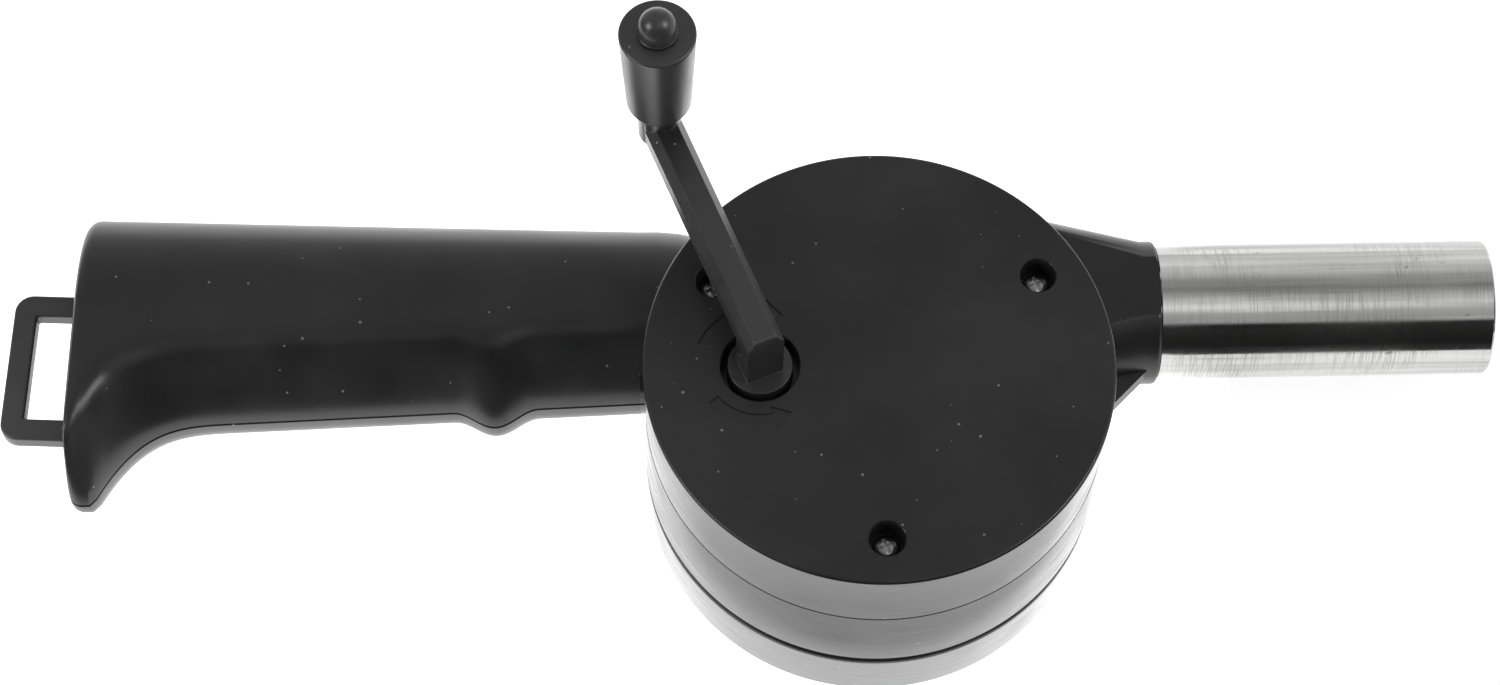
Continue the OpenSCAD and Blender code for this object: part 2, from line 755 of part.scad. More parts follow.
// Pin with a domed head, fixed in the arm
module knob_pin() {
    color(BLACK) at_knob() {
        translate([0, 0, pin_low]) cylinder(r = pin_r, h = knob_top + play - pin_low + EPS);
        translate([0, 0, knob_top + play]) rotate_extrude() {
            square([ball_foot_r, ball_lift]);
            intersection() {
                translate([0, ball_lift]) circle(ball_r);
                square([ball_r + 1, ball_lift + ball_r + 1]);
            }
        }
    }
}

// Knob that spins on the pin: a body that widens upwards, chamfered at its foot
module crank_knob() {
    color(BLACK) at_knob() rotate_extrude() {
        polygon([
            [pin_r + run_fit, knob_low], [knob_foot_r - knob_chamfer, knob_low],
            [knob_foot_r, knob_low + knob_chamfer_h], [knob_r, knob_top - knob_edge],
            [knob_r - knob_edge, knob_top], [pin_r + run_fit, knob_top]
        ]);
        translate([knob_r - knob_edge, knob_top - knob_edge]) circle(knob_edge);
    }
}

lower_housing();
upper_housing();
gear_cover();
air_tube();
hanging_loop();
cover_screws();
housing_screws();
handle_screws();
lower_bush();
upper_bush();
impeller_shaft();
impeller();
impeller_pinion();
shaft_washer();
idler_axle();
idler_gear();
crank_gear();
crank_washer();
crank_screw();
crank_arm();
knob_pin();
crank_knob();
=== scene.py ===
"""Looks of the hand crank blower: moulded black shells, steel tube, crank and knob."""

import math

import bmesh
import bpy
from mathutils import Matrix, Vector


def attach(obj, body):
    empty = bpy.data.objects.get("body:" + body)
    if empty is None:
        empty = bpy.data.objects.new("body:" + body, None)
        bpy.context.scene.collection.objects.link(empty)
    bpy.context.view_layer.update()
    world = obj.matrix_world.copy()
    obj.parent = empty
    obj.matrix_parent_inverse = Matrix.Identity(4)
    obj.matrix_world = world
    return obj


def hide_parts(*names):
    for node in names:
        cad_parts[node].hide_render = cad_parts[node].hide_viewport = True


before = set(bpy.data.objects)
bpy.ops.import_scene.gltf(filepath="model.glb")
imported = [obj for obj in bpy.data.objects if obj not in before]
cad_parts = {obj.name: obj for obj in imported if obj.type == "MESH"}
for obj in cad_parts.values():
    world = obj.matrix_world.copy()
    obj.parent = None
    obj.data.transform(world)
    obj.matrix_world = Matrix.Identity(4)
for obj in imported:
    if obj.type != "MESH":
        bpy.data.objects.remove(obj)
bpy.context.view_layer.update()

# Sizes in millimetres, as in the part's source, with finer ones that only the looks need
MM = 0.001
DRUM_R = 36.5
DRUM_H = 48.0
WALL = 2.0
FLOOR_T = 2.4
SEAM_Z = 15.5
RIM_LOW = 15.0
RIM_HIGH = 16.0
LIP_R = 35.4
LIP_T = 0.85
LIP_TOP = 17.45
COVER_Z = 32.5
DECK_LOW = 27.5
DECK_TOP = 29.5
DECK_HOLE_R = 4.5
COVER_INSIDE = 41.3
COVER_SEAT = 43.1
HOUSING_SEAT = 6.0
HANDLE_SEAT = 8.0
SCREW_L = 9.0
HANDLE_SCREW_L = 10.0
BORE_R = 2.8
POST_R = 4.0
SCREW_RING = 29.2
SCREW_SPOTS = [
    (SCREW_RING * math.cos(math.radians(a)), SCREW_RING * math.sin(math.radians(a)))
    for a in (30, 150, 270)
]
HANDLE_SCREW_SPOTS = [(-52.0, 23.6), (-104.0, 23.6)]
SLOT_COUNT = 16
SLOT_W = 2.2
SLOT_IN = 9.0
SLOT_OUT = 20.0
TUBE_R = 11.0
TUBE_IN_R = 10.3
TUBE_L = 54.4
TUBE_Y = 23.6
NECK_X = 47.6
NECK_R = 11.8
NECK_FLAT = 10.6
NECK_FROM = 30.0
NECK_IN = 6.0
NECK_HALF_W = 14.5
NECK_HALF_H = 12.0
NECK_IN_HALF_W = 12.4
NECK_POWER = 3.2
WEB_POINT = 2.2
WEB_RUN = 9.3
WEB_H = 2.2
SPIGOT_R = 10.25
SPIGOT_L = 12.0
DUCT_R = 8.65
HANDLE_IN = -14.0
HANDLE_ROOT = -34.0
HANDLE_END = 128.4
FRONT_DRUM = 15.0
FRONT_END = 18.2
BACK_DRUM = 15.2
BACK_END = 19.3
BACK_TUCK = 7.0
TUCK_POWER = 1.6
HANDLE_UP = 12.5
HANDLE_DOWN = 12.5
BAND_H = 1.2
BUMP_X = 60.8
BUMP_H = 2.9
BUMP_HALF = 7.0
BEAK_DROP = 13.2
BEAK_L = 21.9
BEAK_TIP = HANDLE_END - 3.8
BEAK_POWER = 3.6
END_ROUND = 2.2
END_FALL = 2.0
END_DROP = 0.13
END_LEAN = math.radians(1.5)
LEAN_L = 30.0
FRONT_EDGE = 16
FRONT_FOOT = 0.13
FRONT_CREASE = 0.46
BEAK_CREASE = 0.76
CREASE_L = 7.0
SIDE_POWER = 2.3
SEAM_CUT_UPPER = 0.2
SEAM_CUT_LOWER = 0.42
LOOP_LOW = -140.4
LOOP_HIGH = -120.6
LOOP_ROOT = -128.4
LOOP_Y = 16.1
LOOP_HALF = 13.0
LOOP_TILT = math.radians(3)
LOOP_BAR = 3.8
LOOP_T = 3.0
LOOP_CORNER = 3.0
CRANK_POS = (-18.4, 0.0)
CRANK_TURN = math.radians(21.4)
CRANK_L = 40.6
CRANK_WELL_R = 6.1
CRANK_WELL_Z = 44.4
SPINDLE_BORE_R = 5.12
ARM_TOP = 60.2
ARM_FRONT = 2.2
ARM_END_ROUND = 1.1
KNOB_POS = (
    CRANK_POS[0] - CRANK_L * math.sin(CRANK_TURN),
    CRANK_POS[1] + CRANK_L * math.cos(CRANK_TURN),
)
KNOB_LOW = 62.1
KNOB_TOP = 84.3
KNOB_R = 5.9
KNOB_FOOT_R = 5.1
KNOB_CHAMFER = 1.4
KNOB_CHAMFER_H = 2.8
PIN_R = 1.75
PIN_LOW = 54.8
DOME_R = 2.9
DOME_SINK = 1.3

# How close a point has to be to a place to be picked there, in millimetres
HAIR = 1e-4


# Working on meshes


def clear():
    """Object mode with nothing selected."""
    if bpy.context.mode != "OBJECT":
        bpy.ops.object.mode_set(mode="OBJECT")
    bpy.ops.object.select_all(action="DESELECT")


def take(piece):
    """Makes the piece the only selected and active one."""
    clear()
    piece.select_set(True)
    bpy.context.view_layer.objects.active = piece


def open_mesh(piece):
    """Edit mode on the piece, all of it selected."""
    take(piece)
    bpy.ops.object.mode_set(mode="EDIT")
    bpy.ops.mesh.select_mode(type="VERT")
    bpy.ops.mesh.select_all(action="SELECT")


def settle(piece):
    """Puts the piece's place into its mesh."""
    take(piece)
    bpy.ops.object.transform_apply(location=True, rotation=True, scale=True)
    return piece


def pick(piece, what, test):
    """Selects the vertices, edges or faces that pass a test on their middle, in millimetres."""
    bpy.ops.mesh.select_mode(type=what)
    bpy.ops.mesh.select_all(action="DESELECT")
    mesh = bmesh.from_edit_mesh(piece.data)
    group = {"VERT": mesh.verts, "EDGE": mesh.edges, "FACE": mesh.faces}[what]
    for item in group:
        if what == "VERT":
            middle = item.co
        elif what == "EDGE":
            middle = (item.verts[0].co + item.verts[1].co) / 2
        else:
            middle = item.calc_center_median()
        item.select_set(bool(test(middle / MM, item)))
    mesh.select_flush_mode()
    bmesh.update_edit_mesh(piece.data)


def place(x, y, z):
    """A point in millimetres, in the scene's metres."""
    return (x * MM, y * MM, z * MM)


def push_out(dx=0.0, dy=0.0, dz=0.0):
    """Extrudes what is selected by a step."""
    bpy.ops.mesh.extrude_region_move(TRANSFORM_OT_translate={"value": place(dx, dy, dz)})


def stretch(factors, centre):
    """Scales what is selected about a point."""
    bpy.ops.transform.resize(value=factors, center_override=place(*centre))


def swing(angle, centre):
    """Turns what is selected about an upright axis, clockwise from above."""
    bpy.ops.transform.rotate(value=angle, orient_axis="Z", center_override=place(*centre))


def close_up(piece):
    """Merges doubles, fills open ends and turns the faces outwards."""
    open_mesh(piece)
    bpy.ops.mesh.remove_doubles(threshold=1e-6)
    bpy.ops.mesh.fill_holes(sides=0)
    bpy.ops.mesh.select_all(action="SELECT")
    bpy.ops.mesh.normals_make_consistent(inside=False)
    clear()
    return piece


def turned(name, profile, at, axis="Z", sides=96):
    """A round piece from steps of radius and place along the axis.

    It closes on itself where the last step is the first, and is filled at its ends otherwise.
    """
    clear()
    r, s = profile[0]
    along_x = axis == "X"
    start = (s, at[0], at[1]) if along_x else (at[0], at[1], s)
    turn = (0, math.pi / 2, 0) if along_x else (0, 0, 0)
    bpy.ops.mesh.primitive_circle_add(
        vertices=sides, radius=r * MM, location=place(*start), rotation=turn
    )
    piece = bpy.context.active_object
    piece.name = name
    settle(piece)
    open_mesh(piece)
    for next_r, next_s in profile[1:]:
        step = next_s - s
        k = next_r / r
        if along_x:
            push_out(dx=step)
            stretch((1, k, k), (next_s, at[0], at[1]))
        else:
            push_out(dz=step)
            stretch((k, k, 1), (at[0], at[1], next_s))
        r, s = next_r, next_s
    return close_up(piece)


def bar(name, r, low, high, at, axis="Z", sides=96):
    """A plain round bar, as a tool or a start."""
    return turned(name, [(r, low), (r, high)], at, axis, sides)


def bore_tool(r, floor_z, face_z, at, sides=48, rim=0.16):
    """A drill for a blind hole from a face, with a small chamfer at the face."""
    way = 1 if face_z > floor_z else -1
    profile = [
        (r, floor_z),
        (r, face_z - way * rim),
        (r + rim, face_z),
        (r + 3 * rim, face_z + way * 2 * rim),
    ]
    return turned("tool", profile, at, sides=sides)


def plate(name, outline, low, high):
    """A flat plate from an outline in the XY plane."""
    clear()
    bpy.ops.mesh.primitive_circle_add(
        vertices=len(outline), radius=MM, fill_type="NGON", location=place(0, 0, low)
    )
    piece = bpy.context.active_object
    piece.name = name
    settle(piece)
    open_mesh(piece)
    mesh = bmesh.from_edit_mesh(piece.data)
    mesh.verts.ensure_lookup_table()
    starts = [v.co.copy() for v in mesh.verts]
    for i, (x, y) in enumerate(outline):
        bpy.ops.mesh.select_all(action="DESELECT")
        mesh = bmesh.from_edit_mesh(piece.data)
        mesh.verts.ensure_lookup_table()
        mesh.verts[i].select_set(True)
        bmesh.update_edit_mesh(piece.data)
        move = Vector(place(x, y, low)) - starts[i]
        bpy.ops.transform.translate(value=move)
    bpy.ops.mesh.select_all(action="SELECT")
    push_out(dz=high - low)
    return close_up(piece)


def carve(piece, tool, how="DIFFERENCE"):
    """Cuts the tool out of the piece, or welds it on."""
    take(piece)
    step = piece.modifiers.new("step", "BOOLEAN")
    step.operation = how
    step.object = tool
    step.solver = "EXACT"
    bpy.ops.object.modifier_apply(modifier=step.name)
    bpy.data.objects.remove(tool, do_unlink=True)
    return piece


def soften(piece, width, segments=2, angle=35):
    """Rounds every edge that is sharper than the angle."""
    take(piece)
    step = piece.modifiers.new("edges", "BEVEL")
    step.width = width * MM
    step.segments = segments
    step.limit_method = "ANGLE"
    step.angle_limit = math.radians(angle)
    bpy.ops.object.modifier_apply(modifier=step.name)
    return piece


def shade(piece, angle=32):
    """Smooth shading that keeps flat faces flat beside their rounded edges."""
    take(piece)
    bpy.ops.object.shade_smooth_by_angle(angle=math.radians(angle))
    step = piece.modifiers.new("normals", "WEIGHTED_NORMAL")
    step.keep_sharp = True
    step.weight = 100
    bpy.ops.object.modifier_apply(modifier=step.name)
    return piece


def slice_off(piece, z, keep_above):
    """Cuts the piece along a level plane and keeps one side, closed."""
    open_mesh(piece)
    bpy.ops.mesh.bisect(
        plane_co=place(0, 0, z),
        plane_no=(0, 0, 1),
        use_fill=True,
        clear_inner=keep_above,
        clear_outer=not keep_above,
    )
    clear()
    return piece


def twin(piece, name):
    """A copy of the piece with its own mesh."""
    copy = bpy.data.objects.new(name, piece.data.copy())
    bpy.context.scene.collection.objects.link(copy)
    return copy


def from_node(node, name):
    """A copy of a CAD node with its doubles and flat faces merged."""
    piece = twin(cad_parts[node], name)
    open_mesh(piece)
    bpy.ops.mesh.remove_doubles(threshold=2e-6)
    bpy.ops.mesh.dissolve_limited(angle_limit=math.radians(0.5))
    clear()
    return piece


def fit_out(piece, body, slot, finish, *nodes):
    """Gives a piece its finish, its body and the nodes it stands for."""
    piece.data.materials.clear()
    piece.data.materials.append(finish)
    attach(piece, body)
    if nodes:
        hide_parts(*nodes)
    return piece


# Finishes


def add(finish, kind, links=None, **settings):
    """A node with its settings and inputs; an input is a value or another node's output."""
    node = finish.node_tree.nodes.new(kind)
    for key, value in settings.items():
        setattr(node, key, value)
    for key, value in (links or {}).items():
        if isinstance(value, bpy.types.NodeSocket):
            finish.node_tree.links.new(value, node.inputs[key])
        else:
            node.inputs[key].default_value = value
    return node


def start_finish(name, color, roughness, metallic=0.0):
    """A new finish, with its shader and its object coordinates."""
    finish = bpy.data.materials.new(name)
    finish.use_nodes = True
    shader = finish.node_tree.nodes["Principled BSDF"]
    shader.inputs["Base Color"].default_value = (*color, 1)
    shader.inputs["Roughness"].default_value = roughness
    shader.inputs["Metallic"].default_value = metallic
    coord = add(finish, "ShaderNodeTexCoord").outputs["Object"]
    return finish, shader, coord


def noise(finish, coord, scale, detail=3.0, stretch_by=None):
    """A noise pattern, drawn out along the axes where stretch_by is given."""
    vector = coord
    if stretch_by:
        vector = add(
            finish, "ShaderNodeMapping", {"Vector": coord, "Scale": stretch_by}
        ).outputs["Vector"]
    return add(
        finish,
        "ShaderNodeTexNoise",
        {"Vector": vector, "Scale": scale, "Detail": detail},
    ).outputs["Fac"]


def span(finish, value, low, high, to_low, to_high):
    """Maps one range to another, held at its ends."""
    return add(
        finish,
        "ShaderNodeMapRange",
        {
            "Value": value,
            "From Min": low,
            "From Max": high,
            "To Min": to_low,
            "To Max": to_high,
        },
    ).outputs["Result"]


def sums(finish, how, a, b):
    """One step of arithmetic on two values."""
    return add(finish, "ShaderNodeMath", {0: a, 1: b}, operation=how).outputs["Value"]


def blend_colors(finish, factor, low, high):
    """A colour between two, by the factor."""
    node = add(finish, "ShaderNodeMix", data_type="RGBA")
    for index, value in ((0, factor), (6, low), (7, high)):
        if isinstance(value, bpy.types.NodeSocket):
            finish.node_tree.links.new(value, node.inputs[index])
        else:
            node.inputs[index].default_value = value
    return node.outputs[2]


def bumps(finish, shader, height, strength, depth):
    """Gives the shader a relief; depth in millimetres."""
    node = add(
        finish,
        "ShaderNodeBump",
        {"Height": height, "Strength": strength, "Distance": depth * MM},
    )
    finish.node_tree.links.new(node.outputs["Normal"], shader.inputs["Normal"])


def moulded_black(name, tone, rough, grain, rub, rub_by, shine=0.5):
    """Black moulded plastic: fine grain, cloudy gloss, rubbed streaks and dust specks."""
    finish, shader, coord = start_finish(name, (tone, tone, tone * 1.04), rough)
    shader.inputs["Specular IOR Level"].default_value = shine
    link = finish.node_tree.links.new
    cloud = noise(finish, coord, 55.0, 4.0)
    streak = noise(finish, coord, 60.0, 5.0, rub)
    fine = noise(finish, coord, 2400.0, 2.0)
    gloss = sums(
        finish,
        "ADD",
        span(finish, cloud, 0.3, 0.7, rough - 0.05, rough + 0.05),
        span(finish, streak, 0.35, 0.7, -0.3 * rub_by, 0.7 * rub_by),
    )
    link(gloss, shader.inputs["Roughness"])
    cells = add(
        finish, "ShaderNodeTexVoronoi", {"Vector": coord, "Scale": 330.0}
    ).outputs
    own = add(finish, "ShaderNodeSeparateColor", {"Color": cells["Color"]}).outputs["Red"]
    spot = sums(finish, "LESS_THAN", cells["Distance"], span(finish, own, 0.1, 1.0, 0.0, 0.085))
    dust = sums(finish, "MULTIPLY", spot, 0.6)
    body = blend_colors(
        finish,
        span(finish, cloud, 0.35, 0.65, 0.0, 1.0),
        (tone * 0.8, tone * 0.8, tone * 0.84, 1),
        (tone * 1.3, tone * 1.3, tone * 1.33, 1),
    )
    link(
        blend_colors(finish, dust, body, (0.3, 0.3, 0.29, 1)),
        shader.inputs["Base Color"],
    )
    bumps(
        finish,
        shader,
        sums(finish, "ADD", fine, sums(finish, "MULTIPLY", dust, 0.6)),
        grain,
        0.02,
    )
    return finish


def brushed_tube(name):
    """Drawn steel tube: fine rings from brushing, cloudy stains and dark scratches along it."""
    finish, shader, coord = start_finish(name, (0.62, 0.62, 0.61), 0.24, 1.0)
    link = finish.node_tree.links.new
    rings = noise(finish, coord, 30.0, 5.0, (150.0, 6.0, 6.0))
    stain = noise(finish, coord, 70.0, 5.0, (0.6, 1.6, 1.6))
    patch = noise(finish, coord, 60.0, 3.0)
    bands = noise(finish, coord, 30.0, 4.0, (0.5, 14.0, 14.0))
    lines = noise(finish, coord, 30.0, 3.0, (1.2, 60.0, 60.0))
    pits = noise(finish, coord, 700.0, 2.0, (0.5, 1.0, 1.0))
    link(
        sums(
            finish,
            "ADD",
            span(finish, rings, 0.3, 0.7, 0.09, 0.17),
            span(finish, stain, 0.4, 0.7, -0.02, 0.08),
        ),
        shader.inputs["Roughness"],
    )
    clean = blend_colors(
        finish,
        span(finish, bands, 0.38, 0.66, 0.0, 1.0),
        (0.74, 0.74, 0.73, 1),
        (0.45, 0.45, 0.44, 1),
    )
    brushed = sums(
        finish,
        "MULTIPLY",
        span(finish, rings, 0.46, 0.62, 0.0, 0.8),
        span(finish, patch, 0.42, 0.62, 0.1, 1.0),
    )
    steel = blend_colors(finish, brushed, clean, (0.4, 0.4, 0.39, 1))
    worn = sums(
        finish,
        "MAXIMUM",
        span(finish, lines, 0.64, 0.76, 0.0, 0.5),
        span(finish, pits, 0.7, 0.76, 0.0, 0.6),
    )
    link(blend_colors(finish, worn, steel, (0.2, 0.2, 0.19, 1)), shader.inputs["Base Color"])
    bumps(
        finish,
        shader,
        sums(finish, "ADD", sums(finish, "MULTIPLY", rings, 0.4), lines),
        0.04,
        0.02,
    )
    return finish


def plated_steel(name, color, rough):
    """Plated hardware: cloudy plating with a light grain."""
    finish, shader, coord = start_finish(name, color, rough, 1.0)
    link = finish.node_tree.links.new
    cloud = noise(finish, coord, 420.0, 4.0)
    link(span(finish, cloud, 0.3, 0.7, rough - 0.08, rough + 0.12), shader.inputs["Roughness"])
    dull = tuple(c * 0.72 for c in color)
    link(
        blend_colors(
            finish, span(finish, cloud, 0.4, 0.7, 0.0, 1.0), (*color, 1), (*dull, 1)
        ),
        shader.inputs["Base Color"],
    )
    bumps(finish, shader, noise(finish, coord, 2500.0, 2.0), 0.1, 0.01)
    return finish


def natural_plastic(name):
    """Unpainted gear plastic, slightly yellow, with flow marks."""
    finish, shader, coord = start_finish(name, (0.74, 0.71, 0.62), 0.45)
    link = finish.node_tree.links.new
    cloud = noise(finish, coord, 120.0, 4.0)
    link(span(finish, cloud, 0.3, 0.7, 0.38, 0.55), shader.inputs["Roughness"])
    link(
        blend_colors(finish, cloud, (0.7, 0.66, 0.55, 1), (0.78, 0.76, 0.69, 1)),
        shader.inputs["Base Color"],
    )
    bumps(finish, shader, noise(finish, coord, 1500.0, 2.0), 0.1, 0.02)
    return finish


HOUSING_BLACK = moulded_black("housing_black", 0.0185, 0.32, 0.18, (2.0, 4.0, 4.0), 0.04)
DRUM_BLACK = moulded_black("drum_black", 0.015, 0.17, 0.1, (2.0, 2.0, 26.0), 0.16)
CRANK_BLACK = moulded_black("crank_black", 0.027, 0.3, 0.12, (9.0, 9.0, 1.2), 0.08, 0.8)
# The loop's copy of the housing plastic has a tone about three times lighter than the housing's:
# painted light, so that the loop's flat faces read lighter
LOOP_PAINTED_LIGHTER = moulded_black("loop_black_painted_lighter", 0.054, 0.36, 0.2, (2.0, 4.0, 4.0), 0.05)
TUBE_STEEL = brushed_tube("tube_steel")
SCREW_STEEL = plated_steel("screw_steel", (0.5, 0.5, 0.51), 0.2)
BUSH_BRONZE = plated_steel("bush_bronze", (0.52, 0.34, 0.15), 0.4)
GEAR_NATURAL = natural_plastic("gear_natural")


# The drum: base cup, middle wall with the gear deck, and the cover


def arc(r, s, round_by, start, end, steps=6):
    """Places on a rounded corner in a turned profile."""
    return [
        (
            r + round_by * math.cos(math.radians(start + (end - start) * i / steps)),
            s + round_by * math.sin(math.radians(start + (end - start) * i / steps)),
        )
        for i in range(steps + 1)
    ]


def base_cup():
    """Base: a floor with screw posts, a wall and a lip for the wall above."""
    edge = 1.6
    rim = 1.2
    draft = 0.5
    middle_r = 0.5
    profile = [
        (middle_r, 0.0),
        *arc(DRUM_R - draft - edge, edge, edge, -90, -3),
        *arc(DRUM_R - rim, RIM_LOW - rim, rim, 0, 90, 5),
        (LIP_R, RIM_LOW),
        (LIP_R, LIP_TOP),
        (LIP_R - LIP_T, LIP_TOP),
        (LIP_R - LIP_T, FLOOR_T),
        (middle_r, FLOOR_T),
    ]
    cup = turned("lower_shell", profile, (0, 0), sides=160)
    for spot in SCREW_SPOTS:
        carve(cup, bar("tool", POST_R, FLOOR_T - 0.5, SEAM_Z, spot, sides=40), "UNION")
    return cup


def inlet_slots():
    """The ring of slots as one tool."""
    half = SLOT_W / 2
    turn = [math.radians(a) for a in range(-90, 91, 15)]
    outline = [(SLOT_OUT + half * math.cos(a), half * math.sin(a)) for a in turn]
    outline += [(SLOT_IN - half * math.cos(a), -half * math.sin(a)) for a in turn]
    first = plate("tool", outline, -1, FLOOR_T + 1)
    others = []
    for i in range(1, SLOT_COUNT):
        other = twin(first, f"tool_{i}")
        other.data.transform(Matrix.Rotation(i * math.tau / SLOT_COUNT, 4, "Z"))
        others.append(other)
    take(first)
    for other in others:
        other.select_set(True)
    bpy.ops.object.join()
    return first


def pierce_base(shell):
    """Cuts screw holes and slots; it comes after the welds, which stay closed on a plain floor."""
    for spot in SCREW_SPOTS:
        carve(shell, bore_tool(BORE_R, HOUSING_SEAT, 0, spot))
    carve(shell, inlet_slots())


def middle_wall():
    """Wall between base and cover, with the gear deck inside."""
    rim = 0.2
    draft = 0.2
    play = 0.05
    inner = DRUM_R - WALL
    profile = [
        *arc(DRUM_R - rim, RIM_HIGH + rim, rim, -90, 0, 3),
        *arc(DRUM_R - draft - rim, COVER_Z - rim, rim, 0, 90, 3),
        (inner - WALL, COVER_Z),
        (inner - WALL, DECK_TOP),
        (DECK_HOLE_R, DECK_TOP),
        (DECK_HOLE_R, DECK_LOW),
        (inner, DECK_LOW),
        (inner, LIP_TOP + play),
        (LIP_R + play, LIP_TOP + play),
        (LIP_R + play, RIM_HIGH),
        (DRUM_R - rim, RIM_HIGH),
    ]
    return turned("upper_shell", profile, (0, 0), sides=160)


def arrow_outline(tail, neck, tip):
    """A curved direction arrow about the crank, as an outline; angles in degrees."""
    low, mid, high = 8.3, 9.25, 10.2
    barb = 1.1
    steps = 14
    angles = [math.radians(tail + (neck - tail) * i / steps) for i in range(steps + 1)]
    flat = [(high, a) for a in angles]
    flat += [(high + barb, angles[-1]), (mid, math.radians(tip)), (low - barb, angles[-1])]
    flat += [(low, a) for a in reversed(angles)]
    return [
        (CRANK_POS[0] + r * math.cos(a), CRANK_POS[1] + r * math.sin(a))
        for r, a in flat
    ]


def cover():
    """Cover with its screw holes, the crank's well and the two shallow arrows."""
    edge = 0.55
    rim = 0.2
    draft = 0.25
    middle_r = 5.0
    arrow_depth = 0.28
    inner = DRUM_R - WALL
    profile = [
        (middle_r, COVER_INSIDE),
        (inner, COVER_INSIDE),
        (inner, COVER_Z),
        *arc(DRUM_R - draft - rim, COVER_Z + rim, rim, -90, 0, 3),
        *arc(DRUM_R - edge, DRUM_H - edge, edge, 0, 90, 5),
        (middle_r, DRUM_H),
    ]
    shell = turned("cover_shell", profile, (0, 0), sides=192)
    for spot in SCREW_SPOTS:
        carve(shell, bore_tool(BORE_R, COVER_SEAT, DRUM_H, spot))
    carve(shell, bore_tool(CRANK_WELL_R, CRANK_WELL_Z, DRUM_H, CRANK_POS, 72))
    carve(shell, bar("tool", SPINDLE_BORE_R, 30, 60, CRANK_POS, sides=72))
    for outline in (arrow_outline(158, 84, 66), arrow_outline(-142, -78, -60)):
        carve(shell, plate("tool", outline, DRUM_H - arrow_depth, DRUM_H + 1))
    return shell


# The handle, lofted as two halves


def part_of(v):
    """A share, kept between 0 and 1."""
    return min(1.0, max(0.0, v))


def mix(a, b, t):
    """The value a share t of the way from a to b."""
    return a + (b - a) * t


def quarter(x, run):
    """Depth of a round edge at the handle's end, from 0 where it starts to 1 at the end."""
    e = 1 - part_of((x + HANDLE_END) / run)
    return 1 - math.sqrt(1 - e * e)


def along(x):
    """Share of the way from the drum to the handle's end."""
    return part_of((-x - DRUM_R) / (HANDLE_END - DRUM_R))


def front_half(x):
    """Width of the finger side, with the bump and the beak."""
    bump = 0.0
    if abs(x + BUMP_X) < BUMP_HALF:
        bump = BUMP_H * math.cos(math.pi / 2 * (x + BUMP_X) / BUMP_HALF) ** 2
    beak = BEAK_DROP * part_of((-x - BEAK_TIP + BEAK_L) / BEAK_L) ** BEAK_POWER
    return mix(FRONT_DRUM, FRONT_END, along(x)) + bump + beak - END_ROUND * quarter(x, END_ROUND)


def back_half(x):
    """Width of the back side, drawn in beside the drum."""
    tuck = BACK_TUCK * part_of((x - HANDLE_ROOT) / (HANDLE_IN - HANDLE_ROOT)) ** TUCK_POWER
    return mix(BACK_DRUM, BACK_END, along(x)) - tuck - END_ROUND * quarter(x, END_ROUND)


def fall(x):
    """How far top and underside close in at the handle's end."""
    return END_DROP * HANDLE_UP * quarter(x, END_FALL)


def handle_stations():
    """Places along the handle, close together where its outline bends."""

    def steps(a, b, n):
        return [mix(a, b, i / n) for i in range(1, n + 1)]

    end = -HANDLE_END
    beak_root = -BEAK_TIP + BEAK_L
    return (
        [HANDLE_IN]
        + steps(HANDLE_IN, HANDLE_ROOT, 6)
        + steps(HANDLE_ROOT, -BUMP_X + BUMP_HALF, 6)
        + steps(-BUMP_X + BUMP_HALF, -BUMP_X - BUMP_HALF, 20)
        + steps(-BUMP_X - BUMP_HALF, beak_root, 8)
        + steps(beak_root, end + END_ROUND, 22)
        + [end + END_ROUND * (1 - math.sin(math.radians(a))) for a in (15, 30, 45, 60, 75, 90)]
    )


def front_reach(x, angle):
    """Unit section of the finger side: a flat top, a crease, a slope and an upright edge."""
    crease = mix(FRONT_CREASE, BEAK_CREASE, part_of((-x - HANDLE_END + CREASE_L) / CREASE_L) ** 2)
    lean = (1 - FRONT_FOOT) / (1 - crease)

    def reach(c, s):
        slope = (lean * c + s) / (lean * crease + 1)
        return (c**FRONT_EDGE + s**FRONT_EDGE + slope**FRONT_EDGE) ** (-1 / FRONT_EDGE)

    c, s = math.cos(angle), math.sin(angle)
    r = reach(c, s)
    return r * c / reach(1, 0), r * s / reach(0, 1)


